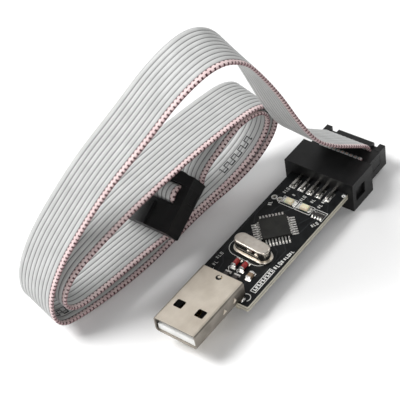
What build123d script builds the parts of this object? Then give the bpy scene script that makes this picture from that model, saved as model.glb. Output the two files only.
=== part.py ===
"""USB microcontroller programmer: a bare board stick with a boxed header, and its ribbon cable.

Frame: +X runs along the stick from the USB plug to the boxed header, +Y is across it to the left
and +Z is up. The origin is under the middle of the stick, on the surface that the header stands on.
All sizes are in millimetres.
"""

import math
import os

from build123d import *

# ---------------------------------------------------------------- driving dimensions
STICK_LENGTH = 68.0          # tip of the plug to the mouth of the boxed header
TIP_X = -STICK_LENGTH / 2
MOUTH_X = STICK_LENGTH / 2

HEADER_DEPTH = 8.9           # boxed header, 2 x 5 pins at 2.54 pitch
HEADER_WIDTH = 20.3
HEADER_HEIGHT = 8.8
HEADER_X = MOUTH_X - HEADER_DEPTH
HEADER_FLOOR = 2.4
CAVITY_WIDTH = 17.9
CAVITY_HEIGHT = 6.6
AXIS_Z = HEADER_HEIGHT / 2   # height of the header's axis and of the board's mid-plane

PITCH = 2.54
COLUMNS = 5
PIN_SIDE = 0.64
PIN_START_X = 21.0
PIN_END_X = MOUTH_X - 0.6

BOARD_X = -17.8
BOARD_LENGTH = HEADER_X - BOARD_X
BOARD_WIDTH = 17.0
BOARD_THICK = 1.6
BOARD_TOP = AXIS_Z + BOARD_THICK / 2
BOARD_BOTTOM = AXIS_Z - BOARD_THICK / 2

SHELL_LENGTH = 18.9          # USB type A plug
SHELL_WIDTH = 12.0
SHELL_HEIGHT = 4.5
SHELL_WALL = 0.3
SHELL_BASE = BOARD_TOP + 0.02
SHELL_END_X = TIP_X + SHELL_LENGTH
TONGUE_LENGTH = 11.5
TONGUE_THICK = 1.8

CRYSTAL_AT = (-2.9, 0.4)     # low crystal can, across the board
CRYSTAL_TURN = 86
CRYSTAL_CAN = (10.2, 3.8)
CRYSTAL_FLANGE = (11.2, 4.7)
CRYSTAL_FLANGE_THICK = 0.5
CRYSTAL_HEIGHT = 3.5

CHIP_AT = (6.2, 0.4)         # quad flat pack, turned 45 degrees
CHIP_SIDE = 7.0
CHIP_THICK = 1.0
CHIP_STANDOFF = 0.1
CHIP_LEAD_PITCH = 0.8
CHIP_LEADS_PER_SIDE = 8
CHIP_LEAD_REACH = 1.15
CHIP_LEAD_WIDTH = 0.36

LED_PLACES = {"power_led": (15.8, 2.6), "status_led": (15.8, -2.0)}
LED_SIZE = (1.6, 3.2, 0.75)
DIODE_PLACES = [(-8.0, 1.8), (-8.0, -0.6)]
DIODE_LENGTH = 2.5
DIODE_RADIUS = 0.7
RESISTOR_PLACES = [(-11.9, 2.0), (-11.8, -0.5)]
CAPACITOR_PLACE = (-9.6, -3.5)
ARRAY_PLACE = (15.2, -6.3)

SOCKET_WIDTH = 17.5          # ribbon socket: body, cover and strain relief stacked along its depth
SOCKET_THICK = 6.1
BODY_DEPTH = 7.2
COVER_DEPTH = 3.3
RELIEF_DEPTH = 2.7

RIBBON_WIDTH = 12.7          # ten conductors at 1.27 pitch
RIBBON_THICK = 0.9

FRONT_LAYER_X = BODY_DEPTH + RIBBON_THICK / 2
COVER_X = BODY_DEPTH + RIBBON_THICK
REAR_LAYER_X = COVER_X + COVER_DEPTH + RIBBON_THICK / 2
RELIEF_X = COVER_X + COVER_DEPTH + RIBBON_THICK
EXIT_Z = SOCKET_THICK / 2

SOCKET_GAP = 0.25            # between the seated socket and the header's floor
NEAR_SEAT = Plane(
    origin=(HEADER_X + HEADER_FLOOR + SOCKET_GAP, 0, AXIS_Z), x_dir=(1, 0, 0), z_dir=(0, 0, 1)
)
FAR_SEAT = Plane(origin=(-14.0, 24.2, 12.8), x_dir=(0.866, 0, 0.5), z_dir=(0.5, 0, -0.866))
SOCKET_SEATS = {"near": NEAR_SEAT, "far": FAR_SEAT}

# Middle line of the ribbon, from the near socket's exit, over a tall arch, round two loose turns
# that stand on edge beside the stick, and into the far socket.
RIBBON_ROUTE = [
    (39.6, 0.0, 7.45),
    (39.1, 0.0, 9.1),
    (36.2, 0.0, 11.4),
    (31.6, 0.2, 15.1),
    (26.6, 0.8, 18.9),
    (21.5, 2.0, 24.0),
    (17.8, 3.6, 32.6),
    (14.6, 5.0, 42.4),
    (11.0, 6.0, 51.0),
    (6.4, 6.6, 59.6),
    (-1.0, 8.0, 63.6),
    (-9.4, 12.4, 58.8),
    (-18.0, 17.2, 50.0),
    (-26.4, 22.2, 41.8),
    (-33.8, 26.6, 32.6),
    (-40.0, 30.4, 23.6),
    (-44.6, 32.4, 14.2),
    (-43.8, 32.8, 5.2),
    (-36.0, 32.2, 2.5),
    (-26.0, 30.6, 1.9),
    (-15.0, 29.2, 1.8),
    (-4.0, 28.8, 2.2),
    (7.0, 28.2, 2.7),
    (17.0, 25.4, 4.6),
    (25.0, 21.9, 10.0),
    (30.6, 20.3, 16.4),
    (28.6, 19.5, 24.0),
    (22.4, 19.4, 28.4),
    (13.4, 20.2, 29.3),
    (3.0, 21.8, 29.0),
    (-8.0, 23.6, 27.8),
    (-19.0, 25.4, 26.2),
    (-29.6, 27.4, 23.2),
    (-38.8, 29.5, 19.6),
    (-42.4, 31.0, 12.8),
    (-38.8, 31.4, 7.1),
    (-28.6, 30.2, 6.5),
    (-17.0, 28.6, 7.0),
    (-5.0, 26.8, 7.0),
    (7.0, 25.0, 8.0),
    (17.4, 23.3, 9.7),
    (24.6, 21.2, 14.6),
    (27.2, 20.0, 20.6),
    (24.4, 19.4, 25.6),
    (19.0, 20.3, 27.0),
    (14.2, 21.5, 25.4),
    (9.6, 22.5, 22.6),
    (5.8, 23.6, 20.0),
    (3.4, 24.3, 17.2),
    (2.6, 24.5, 14.2),
    (0.5, 24.4, 12.9),
    (-1.2, 24.2, 14.3),
]
LEAD_POINTS = 16             # the first points of the route lead to the loops
RIBBON_ACROSS = (-0.12, -0.98, -0.12)   # direction of the ribbon's width, plain edge to marked edge

os.makedirs("parts", exist_ok=True)


def save(part, name):
    """Label a finished piece and write it."""
    part.label = name
    export_step(part, f"parts/{name}.step")


def pin_places():
    """Column offsets across the header, centred."""
    return [(column - (COLUMNS - 1) / 2) * PITCH for column in range(COLUMNS)]


# ---------------------------------------------------------------- board
TAB_HOLES = [(-16.4, 5.7), (-16.4, -5.7)]
VIA_PLACES = [(15.5, 7.0), (15.5, 5.3)]

with BuildPart() as pcb:
    with BuildSketch(Plane.XY.offset(BOARD_BOTTOM)):
        with Locations((BOARD_X + BOARD_LENGTH / 2, 0)):
            Rectangle(BOARD_LENGTH - 0.04, BOARD_WIDTH)
        with Locations(*TAB_HOLES):
            SlotOverall(2.2, 0.8, mode=Mode.SUBTRACT)
        with Locations(*VIA_PLACES):
            Circle(0.4, mode=Mode.SUBTRACT)
    extrude(amount=BOARD_THICK)
    fillet(pcb.edges().filter_by(Axis.Z).group_by(Axis.X)[0], radius=0.4)
save(pcb.part, "pcb")

# ---------------------------------------------------------------- USB plug
WINDOW_X = TIP_X + 6.25
WINDOW_Y = 3.05
SHELL_MID_Z = SHELL_BASE + SHELL_HEIGHT / 2
HOLLOW_WIDTH = SHELL_WIDTH - 2 * SHELL_WALL
HOLLOW_HEIGHT = SHELL_HEIGHT - 2 * SHELL_WALL
LEG_BOTTOM = BOARD_BOTTOM - 0.6
STAMP_X = SHELL_END_X - 1.5

with BuildPart() as usb_shell:
    with BuildSketch(Plane.YZ.offset(TIP_X)):
        with Locations((0, SHELL_MID_Z)):
            RectangleRounded(SHELL_WIDTH, SHELL_HEIGHT, 0.7)
            RectangleRounded(HOLLOW_WIDTH, HOLLOW_HEIGHT, 0.4, mode=Mode.SUBTRACT)
    extrude(amount=SHELL_LENGTH)
    with BuildSketch(Plane.XY.offset(SHELL_BASE - 1)):
        with Locations((WINDOW_X, WINDOW_Y), (WINDOW_X, -WINDOW_Y)):
            RectangleRounded(2.3, 2.4, 0.35)
    extrude(amount=SHELL_HEIGHT + 2, mode=Mode.SUBTRACT)
    with BuildSketch(Plane.XY.offset(SHELL_MID_Z)):
        with Locations((STAMP_X, 0)):
            Circle(0.8)
            with Locations((0.2, 0)):
                Circle(0.42, mode=Mode.SUBTRACT)
            with Locations((0.8, 0)):
                Rectangle(1.0, 0.4, mode=Mode.SUBTRACT)
    extrude(amount=SHELL_HEIGHT, mode=Mode.SUBTRACT)
    # two side legs pass through the board
    with BuildSketch(Plane.XY.offset(LEG_BOTTOM)):
        for x, y in TAB_HOLES:
            with Locations((x, math.copysign(SHELL_WIDTH / 2 - SHELL_WALL / 2, y))):
                Rectangle(1.6, SHELL_WALL)
    extrude(amount=SHELL_MID_Z - LEG_BOTTOM)
save(usb_shell.part, "usb_shell")

INNER_WIDTH = HOLLOW_WIDTH - 0.1
INNER_BASE = SHELL_BASE + SHELL_WALL + 0.05
INNER_HEIGHT = HOLLOW_HEIGHT - 0.1
REAR_BLOCK_X = TIP_X + TONGUE_LENGTH
USB_CONTACT_PLACES = (-3.5, -1.0, 1.0, 3.5)
USB_CONTACT_WIDTH = 1.0
GROOVE_WIDTH = USB_CONTACT_WIDTH + 0.2
GROOVE_DEPTH = 0.45
TONGUE_TOP = INNER_BASE + TONGUE_THICK

with BuildPart() as usb_insulator:
    with BuildSketch(Plane.XY.offset(INNER_BASE)):
        with Locations((TIP_X + 0.5 + TONGUE_LENGTH / 2, 0)):
            Rectangle(TONGUE_LENGTH, INNER_WIDTH - 0.4)
    extrude(amount=TONGUE_THICK)
    with BuildSketch(Plane.YZ.offset(REAR_BLOCK_X)):
        with Locations((0, INNER_BASE + INNER_HEIGHT / 2)):
            RectangleRounded(INNER_WIDTH, INNER_HEIGHT, 0.4)
    extrude(amount=SHELL_END_X - 0.4 - REAR_BLOCK_X)
    with BuildSketch(Plane.XY.offset(TONGUE_TOP - GROOVE_DEPTH)):
        for y in USB_CONTACT_PLACES:
            with Locations((TIP_X + 6.8, y)):
                Rectangle(10.4, GROOVE_WIDTH)
    extrude(amount=GROOVE_DEPTH + 0.05, mode=Mode.SUBTRACT)
    with BuildSketch(Plane.YZ.offset(REAR_BLOCK_X - 1)):
        for y in USB_CONTACT_PLACES:
            with Locations((y, TONGUE_TOP - GROOVE_DEPTH / 2)):
                Rectangle(GROOVE_WIDTH, GROOVE_DEPTH)
    extrude(amount=SHELL_LENGTH, mode=Mode.SUBTRACT)
    # pocket under the shell's stamped slot
    with BuildSketch(Plane.XY.offset(INNER_BASE + INNER_HEIGHT)):
        with Locations((STAMP_X + 0.1, 0)):
            Rectangle(2.2, 2.2)
    extrude(amount=-1.2, mode=Mode.SUBTRACT)
save(usb_insulator.part, "usb_insulator")

BLADE_START_X = TIP_X + 2.0
BLADE_END_X = SHELL_END_X + 0.6
BLADE_BASE = TONGUE_TOP - GROOVE_DEPTH + 0.05
DROP_THICK = 0.3

with BuildPart() as usb_contacts:
    with BuildSketch(Plane.XY.offset(BLADE_BASE)):
        for y in USB_CONTACT_PLACES:
            with Locations(((BLADE_START_X + BLADE_END_X) / 2, y)):
                Rectangle(BLADE_END_X - BLADE_START_X, USB_CONTACT_WIDTH)
    extrude(amount=0.25)
    # each contact drops to the board behind the shell
    with BuildSketch(Plane.XY.offset(BOARD_TOP + 0.02)):
        for y in USB_CONTACT_PLACES:
            with Locations((BLADE_END_X - DROP_THICK / 2, y)):
                Rectangle(DROP_THICK, USB_CONTACT_WIDTH)
    extrude(amount=BLADE_BASE + 0.1 - BOARD_TOP)
save(usb_contacts.part, "usb_contacts")

# ---------------------------------------------------------------- crystal
CRYSTAL_PLANE = Plane(
    origin=(CRYSTAL_AT[0], CRYSTAL_AT[1], BOARD_TOP + 0.1),
    x_dir=Vector(1, 0, 0).rotate(Axis.Z, CRYSTAL_TURN),
    z_dir=(0, 0, 1),
)

with BuildPart() as crystal_base:
    with BuildSketch(CRYSTAL_PLANE):
        SlotOverall(*CRYSTAL_FLANGE)
    extrude(amount=CRYSTAL_FLANGE_THICK)
    fillet(crystal_base.edges().group_by(Axis.Z)[-1], radius=0.2)
save(crystal_base.part, "crystal_base")

with BuildPart() as crystal_can:
    with BuildSketch(CRYSTAL_PLANE.offset(CRYSTAL_FLANGE_THICK)):
        SlotOverall(*CRYSTAL_CAN)
    extrude(amount=CRYSTAL_HEIGHT - CRYSTAL_FLANGE_THICK)
    fillet(crystal_can.edges().group_by(Axis.Z)[-1], radius=0.5)
save(crystal_can.part, "crystal_can")

# ---------------------------------------------------------------- microcontroller
CHIP_PLANE = Plane(
    origin=(CHIP_AT[0], CHIP_AT[1], BOARD_TOP),
    x_dir=Vector(1, 0, 0).rotate(Axis.Z, 45),
    z_dir=(0, 0, 1),
)

with BuildPart() as mcu_body:
    with BuildSketch(CHIP_PLANE.offset(CHIP_STANDOFF)):
        Rectangle(CHIP_SIDE, CHIP_SIDE)
    extrude(amount=CHIP_THICK)
    chamfer(mcu_body.edges().filter_by(Axis.Z), length=0.3)
    with BuildSketch(CHIP_PLANE.offset(CHIP_STANDOFF + CHIP_THICK)):
        with Locations((-CHIP_SIDE / 2 + 0.9, CHIP_SIDE / 2 - 0.9)):
            Circle(0.35)
    extrude(amount=-0.08, mode=Mode.SUBTRACT)
save(mcu_body.part, "mcu_body")

LEAD_THICK = 0.15
LEAD_HEIGHT = 0.6
LEAD_SPAN = (CHIP_LEADS_PER_SIDE - 1) * CHIP_LEAD_PITCH

with BuildPart() as mcu_leads:
    for quarter in range(4):
        side = Plane(
            origin=CHIP_PLANE.origin,
            x_dir=CHIP_PLANE.x_dir.rotate(Axis.Z, 90 * quarter),
            z_dir=(0, 0, 1),
        )
        profile_plane = Plane(origin=side.origin, x_dir=side.x_dir, z_dir=-side.y_dir)
        for lead in range(CHIP_LEADS_PER_SIDE):
            across = lead * CHIP_LEAD_PITCH - LEAD_SPAN / 2
            with BuildSketch(profile_plane.offset(across - CHIP_LEAD_WIDTH / 2)):
                with BuildLine():
                    Polyline(
                        (CHIP_SIDE / 2 + 0.01, LEAD_HEIGHT),
                        (CHIP_SIDE / 2 + 0.35, LEAD_HEIGHT),
                        (CHIP_SIDE / 2 + 0.5, 0.02 + LEAD_THICK),
                        (CHIP_SIDE / 2 + CHIP_LEAD_REACH, 0.02 + LEAD_THICK),
                        (CHIP_SIDE / 2 + CHIP_LEAD_REACH, 0.02),
                        (CHIP_SIDE / 2 + 0.38, 0.02),
                        (CHIP_SIDE / 2 + 0.24, LEAD_HEIGHT - LEAD_THICK),
                        (CHIP_SIDE / 2 + 0.01, LEAD_HEIGHT - LEAD_THICK),
                        close=True,
                    )
                make_face()
            extrude(amount=CHIP_LEAD_WIDTH)
save(mcu_leads.part, "mcu_leads")

# ---------------------------------------------------------------- light-emitting diodes
TERMINAL = 0.5
SUBSTRATE_TOP = BOARD_TOP + 0.4
LENS_LENGTH = LED_SIZE[1] - 2 * TERMINAL

for name, (x, y) in LED_PLACES.items():
    with BuildPart() as led_body:
        with BuildSketch(Plane.XY.offset(BOARD_TOP + 0.05)):
            with Locations((x, y)):
                Rectangle(LED_SIZE[0], LENS_LENGTH)
        extrude(amount=SUBSTRATE_TOP - BOARD_TOP - 0.05)
        with BuildSketch(Plane.XY.offset(SUBSTRATE_TOP)):
            with Locations((x, y)):
                Rectangle(LED_SIZE[0] - 0.1, LENS_LENGTH - 0.1)
        extrude(amount=LED_SIZE[2] - 0.35, taper=8)
    save(led_body.part, name)

with BuildPart() as led_terminals:
    for x, y in LED_PLACES.values():
        with BuildSketch(Plane.XY.offset(BOARD_TOP + 0.02)):
            for side in (-1, 1):
                with Locations((x, y + side * (LED_SIZE[1] - TERMINAL + 0.02) / 2)):
                    Rectangle(LED_SIZE[0], TERMINAL - 0.02)
        extrude(amount=0.36)
save(led_terminals.part, "led_terminals")

# ---------------------------------------------------------------- glass diodes
CAP_LENGTH = 0.35
DIODE_Z = BOARD_TOP + DIODE_RADIUS + 0.05

with BuildPart() as diode_glass:
    for x, y in DIODE_PLACES:
        glass_plane = Plane.YZ.offset(x - DIODE_LENGTH / 2 + CAP_LENGTH)
        with BuildSketch(glass_plane):
            with Locations((y, DIODE_Z)):
                Circle(DIODE_RADIUS - 0.05)
        extrude(amount=DIODE_LENGTH - 2 * CAP_LENGTH)
save(diode_glass.part, "diode_glass")

with BuildPart() as diode_caps:
    for x, y in DIODE_PLACES:
        for start in (x - DIODE_LENGTH / 2, x + DIODE_LENGTH / 2 - CAP_LENGTH + 0.01):
            with BuildSketch(Plane.YZ.offset(start)):
                with Locations((y, DIODE_Z)):
                    Circle(DIODE_RADIUS)
            extrude(amount=CAP_LENGTH - 0.01)
save(diode_caps.part, "diode_caps")

# ---------------------------------------------------------------- chip resistors, capacitor and array
CHIP_PASSIVE = (2.0, 1.3, 0.5)
PASSIVE_TERMINAL = 0.4
ARRAY_BODY_WIDTH = 0.9
ARRAY_COLUMNS = 4
ARRAY_PITCH = 0.8

with BuildPart() as resistor_bodies:
    with BuildSketch(Plane.XY.offset(BOARD_TOP + 0.03)):
        with Locations(*RESISTOR_PLACES):
            Rectangle(CHIP_PASSIVE[0] - 2 * PASSIVE_TERMINAL, CHIP_PASSIVE[1])
        with Locations(ARRAY_PLACE):
            Rectangle(ARRAY_BODY_WIDTH, ARRAY_COLUMNS * ARRAY_PITCH)
    extrude(amount=CHIP_PASSIVE[2])
save(resistor_bodies.part, "resistor_bodies")

with BuildPart() as resistor_terminals:
    with BuildSketch(Plane.XY.offset(BOARD_TOP + 0.02)):
        for x, y in RESISTOR_PLACES:
            for side in (-1, 1):
                with Locations((x + side * (CHIP_PASSIVE[0] - PASSIVE_TERMINAL + 0.02) / 2, y)):
                    Rectangle(PASSIVE_TERMINAL - 0.02, CHIP_PASSIVE[1] + 0.04)
        with Locations(ARRAY_PLACE):
            for side in (-1, 1):
                for column in range(ARRAY_COLUMNS):
                    column_y = (column - (ARRAY_COLUMNS - 1) / 2) * ARRAY_PITCH
                    with Locations((side * (ARRAY_BODY_WIDTH + 0.34) / 2, column_y)):
                        Rectangle(0.32, 0.45)
    extrude(amount=CHIP_PASSIVE[2] + 0.03)
save(resistor_terminals.part, "resistor_terminals")

CAPACITOR_SIZE = (2.0, 1.25, 0.8)
CAPACITOR_TERMINAL = 0.4

with BuildPart() as capacitor_body:
    with BuildSketch(Plane.XY.offset(BOARD_TOP + 0.03)):
        with Locations(CAPACITOR_PLACE):
            Rectangle(CAPACITOR_SIZE[0] - 2 * CAPACITOR_TERMINAL, CAPACITOR_SIZE[1])
    extrude(amount=CAPACITOR_SIZE[2])
save(capacitor_body.part, "capacitor_body")

with BuildPart() as capacitor_terminals:
    with BuildSketch(Plane.XY.offset(BOARD_TOP + 0.02)):
        with Locations(CAPACITOR_PLACE):
            for side in (-1, 1):
                with Locations((side * (CAPACITOR_SIZE[0] - CAPACITOR_TERMINAL + 0.02) / 2, 0)):
                    Rectangle(CAPACITOR_TERMINAL - 0.02, CAPACITOR_SIZE[1] + 0.04)
    extrude(amount=CAPACITOR_SIZE[2] + 0.04)
save(capacitor_terminals.part, "capacitor_terminals")

# ---------------------------------------------------------------- boxed header
KEY_SLOT_WIDTH = 4.5
END_RECESS = 0.9

with BuildPart() as header_shroud:
    with BuildSketch(Plane.YZ.offset(HEADER_X)):
        with Locations((0, AXIS_Z)):
            Rectangle(HEADER_WIDTH, HEADER_HEIGHT)
    extrude(amount=HEADER_DEPTH)
    with BuildSketch(Plane.YZ.offset(HEADER_X + HEADER_FLOOR)):
        with Locations((0, AXIS_Z)):
            Rectangle(CAVITY_WIDTH, CAVITY_HEIGHT)
    extrude(amount=HEADER_DEPTH, mode=Mode.SUBTRACT)
    # key slot through the lower wall, open at the mouth
    with BuildSketch(Plane.YZ.offset(HEADER_X + HEADER_FLOOR)):
        with Locations((0, 0)):
            Rectangle(KEY_SLOT_WIDTH, HEADER_HEIGHT / 2)
    extrude(amount=HEADER_DEPTH, mode=Mode.SUBTRACT)
    # a blind recess in each end wall
    with BuildSketch(Plane.YZ.offset(HEADER_X + 1.3)):
        for side in (-1, 1):
            with Locations((side * HEADER_WIDTH / 2, AXIS_Z)):
                Rectangle(2 * END_RECESS, 3.6)
    extrude(amount=4.0, mode=Mode.SUBTRACT)
    with BuildSketch(Plane.YZ.offset(HEADER_X)):
        for y in pin_places():
            for row in (-1, 1):
                with Locations((y, AXIS_Z + row * PITCH / 2)):
                    Rectangle(PIN_SIDE + 0.02, PIN_SIDE + 0.02)
    extrude(amount=HEADER_FLOOR, mode=Mode.SUBTRACT)
save(header_shroud.part, "header_shroud")

with BuildPart() as header_pins:
    with BuildSketch(Plane.YZ.offset(PIN_START_X)):
        for y in pin_places():
            for row in (-1, 1):
                with Locations((y, AXIS_Z + row * PITCH / 2)):
                    Rectangle(PIN_SIDE, PIN_SIDE)
    extrude(amount=PIN_END_X - PIN_START_X)
    tips = header_pins.faces().filter_by(Axis.X).group_by(Axis.X)[-1]
    chamfer(tips.edges(), length=0.15)
save(header_pins.part, "header_pins")

SOLDER_LENGTH = 2.6
SOLDER_WIDTH = 1.5

with BuildPart() as solder_joints:
    for y in pin_places():
        for side in (-1, 1):
            pad_z = AXIS_Z + side * (BOARD_THICK / 2 + 0.02)
            with BuildSketch(Plane.XY.offset(pad_z)):
                with Locations((PIN_START_X + 0.9, y)):
                    SlotOverall(SOLDER_LENGTH, SOLDER_WIDTH)
                    Rectangle(SOLDER_LENGTH + 1, PIN_SIDE + 0.04, mode=Mode.SUBTRACT)
            extrude(amount=side * 0.4, taper=15)
save(solder_joints.part, "solder_joints")

# ---------------------------------------------------------------- ribbon sockets, one at each end
BORE_SIDE = 1.4
BORE_DEPTH = 6.4
WRAP_RADIUS = COVER_DEPTH / 2
WRAP_MID_X = COVER_X + COVER_DEPTH / 2
WRAP_MID_Z = -SOCKET_THICK / 2 + 1.75
TAIL_Z = EXIT_Z + 0.4
RELIEF_LEG = 1.2
LEG_TIP = 0.9                # from the cover's front to the end of each leg
LEG_HEIGHT = 2.8
LEG_Z = 0.6
EAR_RISE = 0.4               # the bar's ends stand a little above its middle
EAR_WIDTH = 1.6
NOTCH_WIDTH = 1.9            # notch in the bar's upper edge inside each ear
NOTCH_DEPTH = 1.1
BAR_BULGE = 0.4              # the middle of the bar is deeper than its ends
MIDDLE_WIDTH = SOCKET_WIDTH - 2 * (EAR_WIDTH + NOTCH_WIDTH)


def make_socket_body(mark_side):
    """Moulded body with ten bores, a key on its lower side and a mark by the marked conductor."""
    with BuildPart() as socket_body:
        with BuildSketch(Plane.YZ):
            Rectangle(SOCKET_WIDTH, SOCKET_THICK)
        extrude(amount=BODY_DEPTH)
        with BuildSketch(Plane.YZ):
            with Locations((0, -SOCKET_THICK / 2 - 0.4)):
                Rectangle(KEY_SLOT_WIDTH - 0.4, 0.9)
        extrude(amount=BODY_DEPTH - 1.0)
        with BuildSketch(Plane.YZ):
            for y in pin_places():
                for row in (-1, 1):
                    with Locations((y, row * PITCH / 2)):
                        Rectangle(BORE_SIDE, BORE_SIDE)
        extrude(amount=BODY_DEPTH, mode=Mode.SUBTRACT)
        with BuildSketch(Plane.YZ.offset(BORE_DEPTH)):
            for y in pin_places():
                for row in (-1, 1):
                    with Locations((y + row * 0.32, row * PITCH / 2)):
                        Rectangle(2.1, 1.0)
        extrude(amount=BODY_DEPTH, mode=Mode.SUBTRACT)
        chamfer(socket_body.edges().filter_by(Axis.Y).group_by(Axis.X)[0].sort_by(Axis.Z)[-1], length=0.3)
        with BuildSketch(Plane.XY.offset(EXIT_Z)):
            with Locations((1.4, mark_side * (SOCKET_WIDTH / 2 - 2.2))):
                Triangle(a=1.5, b=1.5, c=1.5, rotation=90)
        extrude(amount=-0.25, mode=Mode.SUBTRACT)
    return socket_body.part


def make_socket_contacts():
    """Ten contacts: two spring blades round each pin and a fork that pierces one conductor."""
    with BuildPart() as contacts:
        for y in pin_places():
            for row in (-1, 1):
                z = row * PITCH / 2
                with BuildSketch(Plane.YZ.offset(0.6)):
                    for blade in (-1, 1):
                        with Locations((y + blade * 0.52, z)):
                            Rectangle(0.2, 0.7)
                extrude(amount=BORE_DEPTH - 0.6)
                with BuildSketch(Plane.YZ.offset(BORE_DEPTH)):
                    with Locations((y + row * 0.2, z)):
                        Rectangle(1.64, 0.7)
                extrude(amount=0.4)
                with BuildSketch(Plane.YZ.offset(BORE_DEPTH + 0.4)):
                    for fork in (-1, 1):
                        with Locations((y + row * PITCH / 4 + fork * 0.28, z)):
                            Rectangle(0.22, 0.3)
                extrude(amount=BODY_DEPTH - BORE_DEPTH - 0.4 + 0.7)
    return contacts.part


def make_socket_cover():
    """Cover that presses the ribbon on the contacts, round under the ribbon's fold."""
    with BuildPart() as cover:
        with BuildSketch(Plane.XZ.offset(-SOCKET_WIDTH / 2)):
            with Locations((WRAP_MID_X, (EXIT_Z + WRAP_MID_Z) / 2)):
                Rectangle(COVER_DEPTH, EXIT_Z - WRAP_MID_Z)
            with Locations((WRAP_MID_X, WRAP_MID_Z)):
                Circle(WRAP_RADIUS)
        extrude(amount=SOCKET_WIDTH)
        end_width = (SOCKET_WIDTH - RIBBON_WIDTH) / 2 - 0.2
        with BuildSketch(Plane.YZ.offset(BODY_DEPTH)):
            for side in (-1, 1):
                with Locations((side * (SOCKET_WIDTH - end_width) / 2, 0)):
                    Rectangle(end_width, SOCKET_THICK)
        extrude(amount=RELIEF_X - BODY_DEPTH)
        # pockets in both ends for the strain relief's legs
        with BuildSketch(Plane.YZ.offset(COVER_X + LEG_TIP - 0.1)):
            for side in (-1, 1):
                with Locations((side * SOCKET_WIDTH / 2, LEG_Z)):
                    Rectangle(2 * RELIEF_LEG, LEG_HEIGHT + 0.2)
        extrude(amount=RELIEF_DEPTH + COVER_DEPTH, mode=Mode.SUBTRACT)
    return cover.part


def make_strain_relief():
    """Bar across the ribbon's second layer, held by two legs in the cover's pockets."""
    with BuildPart() as relief:
        with BuildSketch(Plane.YZ.offset(RELIEF_X)):
            with Locations((0, -0.15)):
                Rectangle(SOCKET_WIDTH, SOCKET_THICK - 0.3)
        extrude(amount=RELIEF_DEPTH)
        with BuildSketch(Plane.YZ.offset(RELIEF_X)):
            with Locations((0, -0.15)):
                Rectangle(MIDDLE_WIDTH, SOCKET_THICK - 0.3)
        extrude(amount=RELIEF_DEPTH + BAR_BULGE)
        outer = relief.edges().filter_by(Axis.Y).group_by(Axis.X)[-1]
        chamfer(outer, length=0.35)
        with BuildSketch(Plane.YZ.offset(RELIEF_X)):
            for side in (-1, 1):
                with Locations((side * (SOCKET_WIDTH - EAR_WIDTH) / 2, EXIT_Z - 0.3)):
                    Rectangle(EAR_WIDTH, 2 * EAR_RISE)
        extrude(amount=RELIEF_DEPTH)
        with BuildSketch(Plane.YZ.offset(RELIEF_X)):
            for side in (-1, 1):
                with Locations((side * (MIDDLE_WIDTH + NOTCH_WIDTH) / 2, EXIT_Z - 0.3)):
                    Rectangle(NOTCH_WIDTH, 2 * NOTCH_DEPTH)
        extrude(amount=RELIEF_DEPTH, mode=Mode.SUBTRACT)
        with BuildSketch(Plane.YZ.offset(RELIEF_X)):
            for side in (-1, 1):
                with Locations((side * (SOCKET_WIDTH - RELIEF_LEG) / 2, LEG_Z)):
                    Rectangle(RELIEF_LEG - 0.1, LEG_HEIGHT)
        extrude(amount=COVER_X + LEG_TIP - RELIEF_X)
    return relief.part


def make_ribbon_fold():
    """Ribbon inside the socket: cut end, front layer, turn round the cover, rear layer to the exit."""
    with BuildPart() as fold:
        with BuildSketch(Plane.XZ.offset(-RIBBON_WIDTH / 2)):
            with BuildLine():
                start = (FRONT_LAYER_X, TAIL_Z)
                turn_in = (FRONT_LAYER_X, WRAP_MID_Z)
                bottom = (WRAP_MID_X, WRAP_MID_Z - WRAP_RADIUS - RIBBON_THICK / 2)
                turn_out = (REAR_LAYER_X, WRAP_MID_Z)
                Line(start, turn_in)
                ThreePointArc(turn_in, bottom, turn_out)
                Line(turn_out, (REAR_LAYER_X, EXIT_Z))
                offset(amount=RIBBON_THICK / 2 - 0.01, side=Side.BOTH, closed=True)
            make_face()
        extrude(amount=RIBBON_WIDTH)
        # square the rounded ends of the strip
        with BuildSketch(Plane.XY.offset(TAIL_Z)):
            with Locations((FRONT_LAYER_X, 0)):
                Rectangle(2, SOCKET_WIDTH)
        extrude(amount=2, mode=Mode.SUBTRACT)
        with BuildSketch(Plane.XY.offset(EXIT_Z)):
            with Locations((REAR_LAYER_X, 0)):
                Rectangle(2, SOCKET_WIDTH)
        extrude(amount=2, mode=Mode.SUBTRACT)
    return fold.part


MARK_SIDES = {"near": -1, "far": 1}
SOCKET_PIECES = {
    "socket_contacts": make_socket_contacts,
    "socket_cover": make_socket_cover,
    "strain_relief": make_strain_relief,
    "ribbon_fold": make_ribbon_fold,
}

for end, seat in SOCKET_SEATS.items():
    save(make_socket_body(MARK_SIDES[end]).moved(seat.location), f"{end}_socket_body")
    for piece, make in SOCKET_PIECES.items():
        save(make().moved(seat.location), f"{end}_{piece}")

# ---------------------------------------------------------------- ribbon
ARC_SHARE = 0.45             # part of a run that the arc at each of its ends takes

across = Vector(*RIBBON_ACROSS).normalized()
far_exit = FAR_SEAT.from_local_coords(Vector(REAR_LAYER_X, 0, EXIT_Z))
route = [Vector(*point) for point in RIBBON_ROUTE] + [far_exit]
runs = [after - before for before, after in zip(route[:-1], route[1:])]
radii = []
for before, after in zip(runs[:-1], runs[1:]):
    half_turn = math.radians(before.get_angle(after)) / 2
    radii.append(ARC_SHARE * min(before.length, after.length) / math.tan(half_turn))
print("ribbon arc radii:", [round(radius, 1) for radius in radii])

join = (route[LEAD_POINTS - 1] + route[LEAD_POINTS]) / 2
SPANS = {
    "ribbon_lead": (route[:LEAD_POINTS] + [join], radii[: LEAD_POINTS - 1]),
    "ribbon_loops": ([join] + route[LEAD_POINTS:], radii[LEAD_POINTS - 1 :]),
}

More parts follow.
